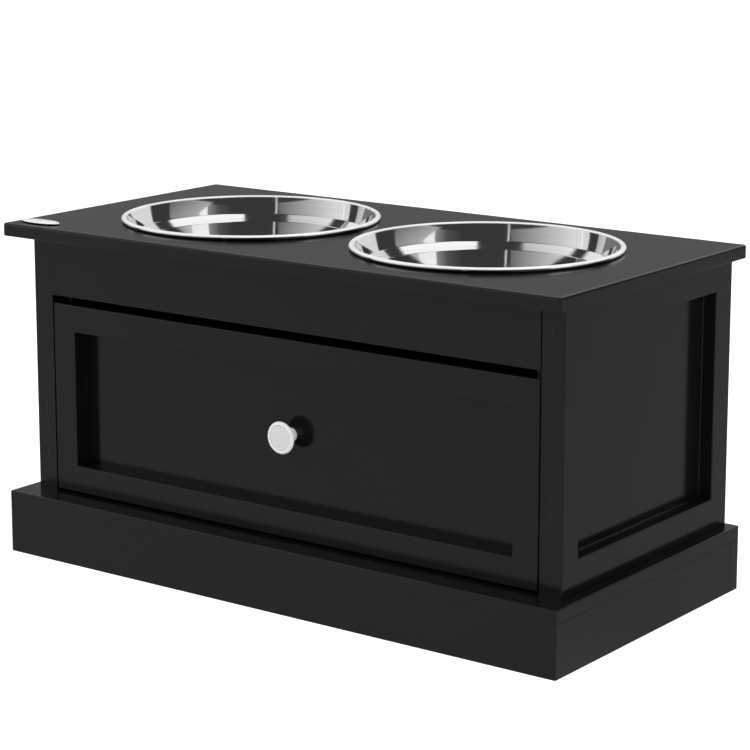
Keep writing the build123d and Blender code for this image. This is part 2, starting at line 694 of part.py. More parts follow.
for name, x in (("left", -bowl_spacing / 2), ("right", bowl_spacing / 2)):
    with BuildPart() as bowl:
        with BuildSketch(Plane(origin=(x, 0, 0), x_dir=right, z_dir=forward)):
            with BuildLine():
                FilletPolyline((0, floor_z + bowl_base_rise),
                               (bowl_base_radius, floor_z + bowl_base_rise),
                               (bowl_base_radius + bowl_base_rise * 2, floor_z),
                               (bowl_foot_radius, floor_z),
                               (bowl_wall_radius, wall_z),
                               (bowl_shoulder_radius, shoulder_z),
                               (bowl_lip_radius, rim_z),
                               (bowl_bead_middle, rim_z),
                               radius=[bowl_crease_bend, bowl_crease_bend, bowl_corner_bend,
                                       bowl_crease_bend, bowl_crease_bend, bowl_lip_bend])
                offset(amount=bowl_sheet, side=Side.RIGHT)
            make_face()
            with Locations((bowl_bead_middle, bead_z)):
                Circle(bowl_bead_radius)
        revolve(axis=Axis((x, 0, 0), up))
    save(bowl, f"bowl_{name}")
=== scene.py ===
import json
import math

import bmesh
import bpy
from mathutils import Matrix, Vector


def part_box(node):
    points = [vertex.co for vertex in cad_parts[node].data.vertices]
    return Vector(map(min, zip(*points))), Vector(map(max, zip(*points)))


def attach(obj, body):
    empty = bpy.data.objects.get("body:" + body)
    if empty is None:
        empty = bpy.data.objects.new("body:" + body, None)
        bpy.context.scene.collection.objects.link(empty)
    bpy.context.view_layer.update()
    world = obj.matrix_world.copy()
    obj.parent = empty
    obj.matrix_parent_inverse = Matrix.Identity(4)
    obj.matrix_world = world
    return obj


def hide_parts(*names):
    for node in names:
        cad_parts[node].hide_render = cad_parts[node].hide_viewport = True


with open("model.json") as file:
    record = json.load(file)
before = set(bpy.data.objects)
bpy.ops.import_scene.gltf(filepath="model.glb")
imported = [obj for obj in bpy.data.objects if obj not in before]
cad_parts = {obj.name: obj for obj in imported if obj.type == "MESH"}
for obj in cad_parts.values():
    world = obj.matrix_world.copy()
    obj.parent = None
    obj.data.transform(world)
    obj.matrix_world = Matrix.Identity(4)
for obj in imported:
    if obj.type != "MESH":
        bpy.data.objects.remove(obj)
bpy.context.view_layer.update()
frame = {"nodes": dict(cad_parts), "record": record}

nodes = frame["nodes"]
scene = bpy.context.scene
scene.view_settings.view_transform = "Standard"
bodyOf = {node: body for body, members in frame["record"]["behaviour"]["bodies"].items() for node in members}
slotOf = {row["node"]: row["material_slot"] for row in frame["record"]["subparts"]}


# A node of any tree, with its sockets filled by name or number from values or from other sockets.
def addNode(tree, kind, inputs=None, **settings):
    node = tree.nodes.new(kind)
    for name, value in settings.items():
        setattr(node, name, value)
    for key, value in (inputs or {}).items():
        socket = node.inputs[key]
        if isinstance(value, bpy.types.NodeSocket):
            tree.links.new(value, socket)
        else:
            socket.default_value = value
    return node


def maths(tree, operation, *values):
    return addNode(tree, "ShaderNodeMath", dict(enumerate(values)), operation=operation).outputs[0]


def vectorMaths(tree, operation, *values):
    return addNode(tree, "ShaderNodeVectorMath", dict(enumerate(values)), operation=operation).outputs


def blendValues(tree, factor, low, high):
    return addNode(tree, "ShaderNodeMix", {"Factor": factor, "A": low, "B": high}).outputs["Result"]


def blendColours(tree, factor, low, high):
    return addNode(tree, "ShaderNodeMix", {0: factor, 6: low, 7: high}, data_type="RGBA").outputs[2]


def rangeOf(tree, value, fromLow, fromHigh, toLow=0.0, toHigh=1.0, kind="SMOOTHSTEP"):
    return addNode(tree, "ShaderNodeMapRange", {
        "Value": value, "From Min": fromLow, "From Max": fromHigh, "To Min": toLow, "To Max": toHigh},
        interpolation_type=kind).outputs["Result"]


# A shader or geometry group with its sockets: (name, kind, default) going in and (name, kind) coming out.
def newGroup(name, kind, goingIn, comingOut):
    tree = bpy.data.node_groups.new(name, kind)
    for label, socketKind, default in goingIn:
        socket = tree.interface.new_socket(label, in_out="INPUT", socket_type=socketKind)
        if default is not None:
            socket.default_value = default
    for label, socketKind in comingOut:
        tree.interface.new_socket(label, in_out="OUTPUT", socket_type=socketKind)
    return tree, tree.nodes.new("NodeGroupInput").outputs, tree.nodes.new("NodeGroupOutput").inputs


def useGroup(tree, group, inputs):
    return addNode(tree, "ShaderNodeGroup", inputs, node_tree=group).outputs


cameraSettings = {
    "place": (1.3042, -1.7444, 0.6773),
    "azimuth": 36.556,
    "tilt": 11.110,
    "lens": 119.41,
    "shiftY": -0.1,
}


def makeCamera():
    data = bpy.data.cameras.new("camera")
    data.lens = cameraSettings["lens"]
    data.shift_y = cameraSettings["shiftY"]
    camera = bpy.data.objects.new("camera", data)
    camera.location = cameraSettings["place"]
    camera.rotation_euler = (math.radians(90 - cameraSettings["tilt"]), 0, math.radians(cameraSettings["azimuth"]))
    scene.collection.objects.link(camera)
    scene.camera = camera


# The studio that shiny surfaces see: a dark room with screens. Azimuth 0 is in front, 90 at the right, in degrees.
studio = {
    "ambient": 0.62,
    "dark": 0.045,
    "backWall": (190, 262, 0.0, 20.0, 0.19, 0.235),  # azimuth from, to, elevation from, to, brightness below, above
    "backWallEdge": 3.0,
    "leanAbout": 24.0,  # elevation that a leaning screen turns about
    "screens": (
        # azimuth from, to, elevation from, to, soft edge, brightness at the first azimuth, at the last, lean
        (-60, 10, -20, 38, 1.5, 0.90, 0.17, 0),  # silver screen in front
        (12.6, 14.4, -20, 50, 0.8, 0.75, 0.75, -0.12),  # slit beside it
        (58, 88, -20, 36, 1.0, 0.04, 0.14, 0),  # glow beside the window, in two steps
        (76, 88, -20, 36, 1.0, 0.12, 0.32, 0),
        (87, 131, -20, 38, 1.5, 1.08, 1.00, 0),  # window
        (107, 132, -20, 38, 2.0, 0.65, 0.20, 0),  # its curtain
        (101, 145, 15, 38, 2.5, 0.50, 0.12, -1.4),  # fold of the curtain
        (131, 157, -20, 38, 2.0, 0.045, 0.045, 0),  # dark wall beside it
        (156, 192, -20, 34, 2.0, 0.85, 0.85, 0),  # white wall behind, at the right
        (190, 260, 20, 36, 4.0, 1.00, 1.00, 0),  # white wall behind
        (262, 273, -20, 36, 1.0, 0.75, 0.55, 0),  # and at the left
        (285, 300, -20, 40, 1.0, 0.82, 0.90, 0),  # screen at the left, with a bright slit in it
        (293, 294.2, -20, 40, 0.6, 1.20, 1.20, 0),
        (70, 180, 45, 84, 3.0, 1.20, 1.20, 0),  # ceiling screens
        (178, 268, 45, 84, 3.0, 1.10, 1.05, 0),
        (266, 311, 45, 76, 3.0, 1.05, 0.60, 0),
    ),
}


# A screen's mask and its brightness at an azimuth and elevation, in degrees.
def makeScreenGroup():
    tree, given, result = newGroup("screen", "ShaderNodeTree", (
        ("Azimuth", "NodeSocketFloat", 0.0), ("Elevation", "NodeSocketFloat", 0.0),
        ("From", "NodeSocketFloat", 0.0), ("To", "NodeSocketFloat", 20.0),
        ("Bottom", "NodeSocketFloat", 0.0), ("Top", "NodeSocketFloat", 40.0), ("Edge", "NodeSocketFloat", 2.0),
        ("First", "NodeSocketFloat", 1.0), ("Last", "NodeSocketFloat", 1.0), ("Lean", "NodeSocketFloat", 0.0)),
        (("Mask", "NodeSocketFloat"), ("Brightness", "NodeSocketFloat")))
    width = maths(tree, "SUBTRACT", given["To"], given["From"])
    half = maths(tree, "MULTIPLY", width, 0.5)
    shift = maths(tree, "MULTIPLY", maths(tree, "SUBTRACT", given["Elevation"], studio["leanAbout"]), given["Lean"])
    middle = maths(tree, "ADD", maths(tree, "ADD", given["From"], half), shift)
    across = maths(tree, "WRAP", maths(tree, "SUBTRACT", given["Azimuth"], middle), 180.0, -180.0)
    share = maths(tree, "DIVIDE", maths(tree, "ADD", across, half), width)
    inside = maths(tree, "DIVIDE", maths(tree, "SUBTRACT", half, maths(tree, "ABSOLUTE", across)), given["Edge"])
    above = maths(tree, "DIVIDE", maths(tree, "SUBTRACT", given["Elevation"], given["Bottom"]), given["Edge"])
    below = maths(tree, "DIVIDE", maths(tree, "SUBTRACT", given["Top"], given["Elevation"]), given["Edge"])
    nearest = maths(tree, "MINIMUM", inside, maths(tree, "MINIMUM", above, below))
    tree.links.new(rangeOf(tree, nearest, -0.5, 0.5), result["Mask"])
    tree.links.new(rangeOf(tree, share, 0.0, 1.0, given["First"], given["Last"], "LINEAR"), result["Brightness"])
    return tree


def makeWorld():
    world = bpy.data.worlds.new("studio")
    world.use_nodes = True
    tree = world.node_tree
    tree.nodes.clear()
    screenGroup = makeScreenGroup()
    direction = addNode(tree, "ShaderNodeSeparateXYZ", {0: addNode(tree, "ShaderNodeTexCoord").outputs["Generated"]})
    x, y, z = direction.outputs
    azimuth = maths(tree, "DEGREES", maths(tree, "ARCTAN2", x, maths(tree, "MULTIPLY", y, -1.0)))
    elevation = maths(tree, "DEGREES", maths(tree, "ARCSINE", z))
    start, end, bottom, top, low, high = studio["backWall"]
    backWall = rangeOf(tree, elevation, bottom, top, low, high, "LINEAR")
    behind = useGroup(tree, screenGroup, {
        "Azimuth": azimuth, "Elevation": elevation, "From": start, "To": end, "Bottom": -90, "Top": top,
        "Edge": studio["backWallEdge"]})
    seen = blendValues(tree, behind["Mask"], studio["dark"], backWall)
    for start, end, bottom, top, edge, first, last, lean in studio["screens"]:
        screen = useGroup(tree, screenGroup, {
            "Azimuth": azimuth, "Elevation": elevation, "From": start, "To": end, "Bottom": bottom, "Top": top,
            "Edge": edge, "First": first, "Last": last, "Lean": lean})
        seen = blendValues(tree, screen["Mask"], seen, screen["Brightness"])
    path = addNode(tree, "ShaderNodeLightPath").outputs
    strength = blendValues(tree, path["Is Glossy Ray"], studio["ambient"], seen)
    background = maths(tree, "MAXIMUM", path["Is Camera Ray"], path["Is Transmission Ray"])
    strength = blendValues(tree, background, strength, 1.0)
    shader = addNode(tree, "ShaderNodeBackground", {"Color": (1, 1, 1, 1), "Strength": strength})
    tree.links.new(shader.outputs[0], addNode(tree, "ShaderNodeOutputWorld").inputs["Surface"])
    scene.world = world


floorSettings = {
    "radius": 4.0,
    "sides": 96,
    "colour": (0.8, 0.8, 0.8, 1),
    "cameraGlow": 0.62,
    # painted light: in reflections the floor glows brighter in front than behind, standing in for how it is lit
    "paintedLightInFront": 0.44,  # how bright reflections see it in front of the feeder
    "behind": 0.325,
    "fadeFrom": -0.2,  # depths between which one passes into the other
    "fadeTo": 0.05,
}


# A pale disc that keeps the shadow, shows a painted glow in reflections, lighter in front than behind, and is clear
# from below.
def makeFloor():
    mesh = bpy.data.meshes.new("floor")
    build = bmesh.new()
    bmesh.ops.create_circle(
        build, cap_ends=True, segments=floorSettings["sides"], radius=floorSettings["radius"])
    build.to_mesh(mesh)
    build.free()
    floor = bpy.data.objects.new("floor", mesh)
    scene.collection.objects.link(floor)
    material = bpy.data.materials.new("paleFloor")
    material.use_nodes = True
    tree = material.node_tree
    tree.nodes.clear()
    path = addNode(tree, "ShaderNodeLightPath").outputs
    shiny = maths(tree, "MAXIMUM", path["Is Glossy Ray"], path["Is Transmission Ray"])
    diffuse = addNode(tree, "ShaderNodeBsdfDiffuse", {"Color": floorSettings["colour"]})
    lit = addNode(tree, "ShaderNodeEmission", {
        "Strength": maths(tree, "MULTIPLY", path["Is Camera Ray"], floorSettings["cameraGlow"])})
    seen = addNode(tree, "ShaderNodeAddShader", {0: diffuse.outputs[0], 1: lit.outputs[0]})
    place = addNode(tree, "ShaderNodeSeparateXYZ", {0: addNode(tree, "ShaderNodeTexCoord").outputs["Object"]})
    # painted light: the glow that reflections see fades from the lit front to the shaded back
    level = rangeOf(tree, place.outputs["Y"], floorSettings["fadeFrom"], floorSettings["fadeTo"],
                    floorSettings["paintedLightInFront"], floorSettings["behind"])
    paintedGlow = addNode(tree, "ShaderNodeEmission", {"Strength": level})
    upper = addNode(tree, "ShaderNodeMixShader", {0: shiny, 1: seen.outputs[0], 2: paintedGlow.outputs[0]})
    below = addNode(tree, "ShaderNodeNewGeometry").outputs["Backfacing"]
    clear = addNode(tree, "ShaderNodeBsdfTransparent")
    both = addNode(tree, "ShaderNodeMixShader", {0: below, 1: upper.outputs[0], 2: clear.outputs[0]})
    tree.links.new(both.outputs[0], addNode(tree, "ShaderNodeOutputMaterial").inputs["Surface"])
    mesh.materials.append(material)


lampSettings = {
    "aim": (0, 0, 0.15),
    "lamps": (
        # name, place, width, height, power
        ("lampAbove", (0.2, -0.2, 2.2), 1.8, 1.2, 18.0),
        ("lampLeft", (-1.9, -1.5, 1.3), 1.0, 1.3, 16.0),
        ("lampRight", (2.1, -0.5, 1.3), 1.0, 1.3, 16.0),
    ),
}


def makeLamps():
    for name, place, width, height, power in lampSettings["lamps"]:
        data = bpy.data.lights.new(name, "AREA")
        data.shape = "RECTANGLE"
        data.size, data.size_y, data.energy = width, height, power
        lamp = bpy.data.objects.new(name, data)
        lamp.location = place
        aim = Vector(lampSettings["aim"]) - Vector(place)
        lamp.rotation_euler = aim.to_track_quat("-Z", "Y").to_euler()
        lamp.visible_glossy = False  # the screens stand for it in reflections
        scene.collection.objects.link(lamp)


makeCamera()
makeWorld()
makeFloor()
makeLamps()
print("stage ready")


# Spray ripple and slow change of gloss in a painted face.
def makeGrainGroup():
    tree, given, result = newGroup("paintGrain", "ShaderNodeTree", (
        ("Vector", "NodeSocketVector", None), ("Ripple Scale", "NodeSocketFloat", 260.0),
        ("Cloud Scale", "NodeSocketFloat", 9.0)), (("Height", "NodeSocketFloat"), ("Clouds", "NodeSocketFloat")))
    ripple = addNode(tree, "ShaderNodeTexNoise", {
        "Vector": given["Vector"], "Scale": given["Ripple Scale"], "Detail": 2.0, "Roughness": 0.45})
    clouds = addNode(tree, "ShaderNodeTexNoise", {
        "Vector": given["Vector"], "Scale": given["Cloud Scale"], "Detail": 3.0, "Roughness": 0.6})
    tree.links.new(ripple.outputs["Fac"], result["Height"])
    tree.links.new(rangeOf(tree, clouds.outputs["Fac"], 0.35, 0.65), result["Clouds"])
    return tree


# Edges where the finish is rubbed, which the lacquer also lightens as a painted arris highlight: the rounded normal
# leaves the flat one there.
def makeEdgeGroup():
    tree, given, result = newGroup("edgeRubAndHighlight", "ShaderNodeTree", (
        ("Vector", "NodeSocketVector", None), ("Width", "NodeSocketFloat", 0.0012),
        ("Break Up", "NodeSocketFloat", 60.0)), (("Mask", "NodeSocketFloat"),))
    rounded = addNode(tree, "ShaderNodeBevel", {"Radius": given["Width"]}, samples=4)
    flat = addNode(tree, "ShaderNodeNewGeometry").outputs["True Normal"]
    turn = vectorMaths(tree, "DOT_PRODUCT", rounded.outputs["Normal"], flat)["Value"]
    edge = rangeOf(tree, turn, 0.995, 0.90)
    patches = addNode(tree, "ShaderNodeTexNoise", {
        "Vector": given["Vector"], "Scale": given["Break Up"], "Detail": 3.0})
    worn = maths(tree, "MULTIPLY", edge, rangeOf(tree, patches.outputs["Fac"], 0.38, 0.62))
    tree.links.new(worn, result["Mask"])
    return tree


# Fine dust that lies on faces that look up.
def makeDustGroup():
    tree, given, result = newGroup("dust", "ShaderNodeTree", (
        ("Vector", "NodeSocketVector", None), ("Amount", "NodeSocketFloat", 0.3),
        ("Scale", "NodeSocketFloat", 40.0)), (("Mask", "NodeSocketFloat"),))
    normal = addNode(tree, "ShaderNodeNewGeometry").outputs["Normal"]
    upward = rangeOf(tree, addNode(tree, "ShaderNodeSeparateXYZ", {0: normal}).outputs["Z"], 0.6, 1.0)
    specks = addNode(tree, "ShaderNodeTexNoise", {
        "Vector": given["Vector"], "Scale": given["Scale"], "Detail": 5.0, "Roughness": 0.7})
    amount = maths(tree, "MULTIPLY", rangeOf(tree, specks.outputs["Fac"], 0.4, 0.75), given["Amount"])
    tree.links.new(maths(tree, "MULTIPLY", upward, amount), result["Mask"])
    return tree


# Rings that a spinning tool leaves round the local Z axis of the vector.
def makeRingGroup():
    tree, given, result = newGroup("turnedRings", "ShaderNodeTree", (
        ("Vector", "NodeSocketVector", None), ("Ring Scale", "NodeSocketFloat", 1500.0),
        ("Band Scale", "NodeSocketFloat", 120.0)), (("Height", "NodeSocketFloat"), ("Bands", "NodeSocketFloat")))
    flat = vectorMaths(tree, "MULTIPLY", given["Vector"], (1, 1, 0))["Vector"]
    radius = vectorMaths(tree, "LENGTH", flat)["Value"]
    height = addNode(tree, "ShaderNodeSeparateXYZ", {0: given["Vector"]}).outputs["Z"]
    along = maths(tree, "ADD", radius, height)
    rings = addNode(tree, "ShaderNodeTexNoise", {
        "W": along, "Scale": given["Ring Scale"], "Detail": 2.0}, noise_dimensions="1D")
    bands = addNode(tree, "ShaderNodeTexNoise", {
        "W": along, "Scale": given["Band Scale"], "Detail": 4.0}, noise_dimensions="1D")
    tree.links.new(rings.outputs["Fac"], result["Height"])
    tree.links.new(rangeOf(tree, bands.outputs["Fac"], 0.3, 0.7), result["Bands"])
    return tree


# Long wood fibres along the local X axis of the vector.
def makeFibreGroup():
    tree, given, result = newGroup("fibres", "ShaderNodeTree", (
        ("Vector", "NodeSocketVector", None), ("Scale", "NodeSocketFloat", 300.0),
        ("Stretch", "NodeSocketFloat", 0.06)), (("Height", "NodeSocketFloat"), ("Tone", "NodeSocketFloat")))
    squeezed = addNode(tree, "ShaderNodeCombineXYZ", {"X": given["Stretch"], "Y": 1.0, "Z": 1.0})
    stretched = vectorMaths(tree, "MULTIPLY", given["Vector"], squeezed.outputs[0])["Vector"]
    fine = addNode(tree, "ShaderNodeTexNoise", {"Vector": stretched, "Scale": given["Scale"], "Detail": 4.0})
    slow = addNode(tree, "ShaderNodeTexNoise", {
        "Vector": stretched, "Scale": maths(tree, "MULTIPLY", given["Scale"], 0.2), "Detail": 2.0})
    tone = maths(tree, "MULTIPLY", fine.outputs["Fac"], slow.outputs["Fac"])
    tree.links.new(fine.outputs["Fac"], result["Height"])
    tree.links.new(rangeOf(tree, tone, 0.12, 0.4), result["Tone"])
    return tree


# What lies outside a radius and above a height about the local Z axis of the vector.
def makeRimGroup():
    tree, given, result = newGroup("outerRim", "ShaderNodeTree", (
        ("Vector", "NodeSocketVector", None), ("Radius", "NodeSocketFloat", 0.1),
        ("Height", "NodeSocketFloat", 0.3), ("Edge", "NodeSocketFloat", 0.0004)), (("Mask", "NodeSocketFloat"),))
    height = addNode(tree, "ShaderNodeSeparateXYZ", {0: given["Vector"]}).outputs["Z"]
    flat = vectorMaths(tree, "MULTIPLY", given["Vector"], (1, 1, 0))["Vector"]
    radius = vectorMaths(tree, "LENGTH", flat)["Value"]
    outside = maths(tree, "DIVIDE", maths(tree, "SUBTRACT", radius, given["Radius"]), given["Edge"])
    above = maths(tree, "DIVIDE", maths(tree, "SUBTRACT", height, given["Height"]), given["Edge"])
    tree.links.new(rangeOf(tree, maths(tree, "MINIMUM", outside, above), -0.5, 0.5), result["Mask"])
    return tree


grainGroup = makeGrainGroup()
edgeGroup = makeEdgeGroup()
dustGroup = makeDustGroup()
ringGroup = makeRingGroup()
fibreGroup = makeFibreGroup()
rimGroup = makeRimGroup()


# A material with a Principled shader; returns the material, its tree, the shader's sockets and object coordinates.
def newMaterial(name, **plain):
    material = bpy.data.materials.new(name)
    material.use_nodes = True
    tree = material.node_tree
    tree.nodes.clear()
    shader = tree.nodes.new("ShaderNodeBsdfPrincipled")
    for label, value in plain.items():
        shader.inputs[label.replace("_", " ")].default_value = value
    tree.links.new(shader.outputs[0], addNode(tree, "ShaderNodeOutputMaterial").inputs["Surface"])
    place = addNode(tree, "ShaderNodeTexCoord").outputs["Object"]
    return material, tree, shader.inputs, place


def bumpFrom(tree, height, strength, distance):
    bump = addNode(tree, "ShaderNodeBump", {"Height": height, "Strength": strength, "Distance": distance})
    return bump.outputs["Normal"]


lacquer = {
    "colour": (0.0044, 0.0044, 0.0046, 1),
    "deep": (0.0038, 0.0038, 0.0040, 1),
    # lighter arrises: partly wear, partly a painted highlight along the rounded edges
    "rubbedAndHighlight": (0.030, 0.030, 0.031, 1),
    "dust": (0.10, 0.10, 0.10, 1),
    "gloss": 0.145,
    "matter": 0.175,
    "edgeMatter": 0.15,  # added at rubbed arrises
    "rubbedAndHighlightShare": 0.5,
    "index": 1.45,
    "ripple": 0.03,
    "rippleDepth": 0.00005,
}


def makeLacquer():
    material, tree, shader, place = newMaterial("blackLacquer", IOR=lacquer["index"])
    grain = useGroup(tree, grainGroup, {"Vector": place, "Ripple Scale": 300.0, "Cloud Scale": 8.0})
    edge = useGroup(tree, edgeGroup, {"Vector": place, "Width": 0.0010, "Break Up": 45.0})["Mask"]
    dust = useGroup(tree, dustGroup, {"Vector": place, "Amount": 0.008, "Scale": 55.0})["Mask"]
    colour = blendColours(tree, grain["Clouds"], lacquer["deep"], lacquer["colour"])
    # partly rubbed wear, partly painted highlight on the arrises
    rubbedAndHighlight = maths(tree, "MULTIPLY", edge, lacquer["rubbedAndHighlightShare"])
    colour = blendColours(tree, rubbedAndHighlight, colour, lacquer["rubbedAndHighlight"])
    colour = blendColours(tree, dust, colour, lacquer["dust"])
    gloss = blendValues(tree, grain["Clouds"], lacquer["gloss"], lacquer["matter"])
    matter = maths(tree, "ADD", dust, maths(tree, "MULTIPLY", edge, lacquer["edgeMatter"]))
    ripple = bumpFrom(tree, grain["Height"], lacquer["ripple"], lacquer["rippleDepth"])
    tree.links.new(colour, shader["Base Color"])
    tree.links.new(maths(tree, "ADD", gloss, matter), shader["Roughness"])
    tree.links.new(ripple, shader["Normal"])
    return material


steel = {
    "bright": (0.80, 0.80, 0.805, 1),
    "dull": (0.74, 0.74, 0.75, 1),
    "gloss": 0.05,
    "matter": 0.09,
    "rim": (0.90, 0.90, 0.905, 1),  # satin finish of the rolled rim
    "rimGloss": 0.32,
    "rimMetal": 0.25,
    "rimRadius": 0.1139,  # where it starts
    "rimHeight": 0.0015,
    # painted shade: the rim turns near black where the board reflects it, standing in for the shade under the rolled
    # rim
    "rimPaintedShadeInReflection": (0.05, 0.05, 0.05, 1),  # how the board below sees it
    "rings": 0.03,
    "ringDepth": 0.00005,
}


# Polished sheet with turned rings round the bowl's own axis and a satin rim, which shows painted shade where the
# board reflects it.
def makeSteel(side, centreX, top):
    material, tree, shader, place = newMaterial("polishedSteel" + side)
    centred = addNode(tree, "ShaderNodeMapping", {"Vector": place, "Location": (-centreX, 0, 0)}).outputs[0]
    rings = useGroup(tree, ringGroup, {"Vector": centred, "Ring Scale": 1600.0, "Band Scale": 140.0})
    dust = useGroup(tree, dustGroup, {"Vector": place, "Amount": 0.02, "Scale": 70.0})["Mask"]
    rim = useGroup(tree, rimGroup, {
        "Vector": centred, "Radius": steel["rimRadius"], "Height": top - steel["rimHeight"]})["Mask"]
    # painted shade: in reflections the rim's colour becomes the dark shade under it
    mirrored = addNode(tree, "ShaderNodeLightPath").outputs["Is Glossy Ray"]
    colour = blendColours(tree, rings["Bands"], steel["dull"], steel["bright"])
    rimColourWithPaintedShade = blendColours(tree, mirrored, steel["rim"], steel["rimPaintedShadeInReflection"])
    tree.links.new(blendColours(tree, rim, colour, rimColourWithPaintedShade), shader["Base Color"])
    gloss = blendValues(tree, rings["Bands"], steel["matter"], steel["gloss"])
    gloss = blendValues(tree, rim, maths(tree, "ADD", gloss, dust), steel["rimGloss"])
    tree.links.new(gloss, shader["Roughness"])
    tree.links.new(blendValues(tree, rim, 1.0, steel["rimMetal"]), shader["Metallic"])
    tree.links.new(bumpFrom(tree, rings["Height"], steel["rings"], steel["ringDepth"]), shader["Normal"])
    return material


chrome = {
    "face": (0.955, 0.955, 0.96, 1),
    # the ring and all behind the face: the same plating painted paler and almost without metal, as a painted
    # highlight
    "ring": (0.97, 0.97, 0.972, 1),
    "gloss": 0.26,
    "matter": 0.30,
    "faceMetal": 0.44,
    "ringHighlightMetal": 0.05,
    "ringRadius": 0.0114,
    "ringEdge": 0.0002,
    "faceDepth": (0.0015, 0.0018),  # behind these depths all is paler
    "rings": 0.0015,
    "ringDepth": 0.00001,
}


# Bright satin plating; the ring round the face and all that lies behind it is the paler, barely metallic part, a
# painted highlight that makes the same plating read bright white.
def makeChrome(height, front):
    material, tree, shader, place = newMaterial("brightChrome")
    turned = addNode(tree, "ShaderNodeMapping", {
        "Vector": place, "Location": (0, height, 0), "Rotation": (math.radians(90), 0, 0)}).outputs[0]
    rings = useGroup(tree, ringGroup, {"Vector": turned, "Ring Scale": 9000.0, "Band Scale": 300.0})
    outside = useGroup(tree, rimGroup, {
        "Vector": turned, "Radius": chrome["ringRadius"], "Height": -1.0, "Edge": chrome["ringEdge"]})["Mask"]
    depth = maths(tree, "SUBTRACT", addNode(tree, "ShaderNodeSeparateXYZ", {0: place}).outputs["Y"], front)
    # painted highlight: the ring, neck and foot take the paler, barely metallic colour
    ring = maths(tree, "MAXIMUM", outside, rangeOf(tree, depth, *chrome["faceDepth"]))
    tree.links.new(blendColours(tree, ring, chrome["face"], chrome["ring"]), shader["Base Color"])
    gloss = blendValues(tree, rings["Bands"], chrome["gloss"], chrome["matter"])
    tree.links.new(gloss, shader["Roughness"])
    tree.links.new(blendValues(tree, ring, chrome["faceMetal"], chrome["ringHighlightMetal"]), shader["Metallic"])
    tree.links.new(bumpFrom(tree, rings["Height"], chrome["rings"], chrome["ringDepth"]), shader["Normal"])
    return material


zinc = {
    "dull": (0.50, 0.51, 0.53, 1),
    "bright": (0.60, 0.61, 0.62, 1),
    "rubbedAndHighlight": (0.74, 0.74, 0.75, 1),
    "gloss": 0.30,
    "matter": 0.42,
    "grain": 0.08,
    "grainDepth": 0.00005,
}


def makeZinc():
    material, tree, shader, place = newMaterial("zincPlate", Metallic=1.0)
    grain = useGroup(tree, grainGroup, {"Vector": place, "Ripple Scale": 900.0, "Cloud Scale": 60.0})
    edge = useGroup(tree, edgeGroup, {"Vector": place, "Width": 0.0004, "Break Up": 200.0})["Mask"]
    colour = blendColours(tree, grain["Clouds"], zinc["dull"], zinc["bright"])
    tree.links.new(blendColours(tree, edge, colour, zinc["rubbedAndHighlight"]), shader["Base Color"])
    tree.links.new(blendValues(tree, grain["Clouds"], zinc["gloss"], zinc["matter"]), shader["Roughness"])
    tree.links.new(bumpFrom(tree, grain["Height"], zinc["grain"], zinc["grainDepth"]), shader["Normal"])
    return material


# White plastic, for the rollers and the blank plate; faces that look sideways can be painted dark as shade, as on the
# plate.
def makePlastic(name, dull, bright, gloss, upright=None):
    material, tree, shader, place = newMaterial(name)
    grain = useGroup(tree, grainGroup, {"Vector": place, "Ripple Scale": 1500.0, "Cloud Scale": 150.0})
    colour = blendColours(tree, grain["Clouds"], dull, bright)
    # painted shade: faces that look sideways take the dark colour
    if upright:
        normal = addNode(tree, "ShaderNodeNewGeometry").outputs["Normal"]
        upward = rangeOf(tree, addNode(tree, "ShaderNodeSeparateXYZ", {0: normal}).outputs["Z"], 0.1, 0.4)
        colour = blendColours(tree, upward, upright, colour)
    tree.links.new(colour, shader["Base Color"])
    tree.links.new(blendValues(tree, grain["Clouds"], gloss, gloss + 0.1), shader["Roughness"])
    tree.links.new(bumpFrom(tree, grain["Height"], strength=0.1, distance=0.00005), shader["Normal"])
    return material


# Bare or faced wood: a light and a dark tone of fibre, and how far the fibres are drawn out.
def makeWood(name, dark, light, scale, stretch, gloss):
    material, tree, shader, place = newMaterial(name)
    fibre = useGroup(tree, fibreGroup, {"Vector": place, "Scale": scale, "Stretch": stretch})
    tree.links.new(blendColours(tree, fibre["Tone"], dark, light), shader["Base Color"])
    tree.links.new(blendValues(tree, fibre["Tone"], gloss, gloss + 0.12), shader["Roughness"])
    tree.links.new(bumpFrom(tree, fibre["Height"], strength=0.25, distance=0.0002), shader["Normal"])
    return material


bowlLow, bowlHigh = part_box("bowl_right")
bowlX = (bowlLow.x + bowlHigh.x) / 2
knobLow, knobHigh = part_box("knob")
materials = {
    "black_lacquer": makeLacquer(),
    "chrome": makeChrome((knobLow.z + knobHigh.z) / 2, knobLow.y),
    "zinc_steel": makeZinc(),
    "nylon": makePlastic("whiteNylon", (0.76, 0.76, 0.73, 1), (0.83, 0.83, 0.80, 1), 0.38),
    "beech": makeWood("beechDowel", (0.46, 0.30, 0.16, 1), (0.64, 0.46, 0.28, 1), 500.0, 0.08, 0.55),
    "hardboard": makeWood("blackHardboard", (0.016, 0.015, 0.015, 1), (0.030, 0.029, 0.028, 1), 420.0, 0.6, 0.5),
    "pine": makeWood("pineBlock", (0.52, 0.35, 0.18, 1), (0.72, 0.55, 0.34, 1), 220.0, 0.05, 0.6),
}
steelOf = {
    "bowl_left": makeSteel("Left", -bowlX, bowlHigh.z),
    "bowl_right": makeSteel("Right", bowlX, bowlHigh.z),
}


for name, thing in nodes.items():
    material = steelOf.get(name) or materials[slotOf[name]]
    if not thing.material_slots:
        thing.data.materials.append(material)
    for place in thing.material_slots:
        place.material = material
print("materials on", len(nodes), "nodes")


# A new piece from a finished mesh, which rides on a body and stands for a node where one is given.
def addPiece(name, mesh, body, node=None):
    piece = bpy.data.objects.new(name, mesh)
    scene.collection.objects.link(piece)
    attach(piece, body)
    if node:
        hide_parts(node)
    return piece


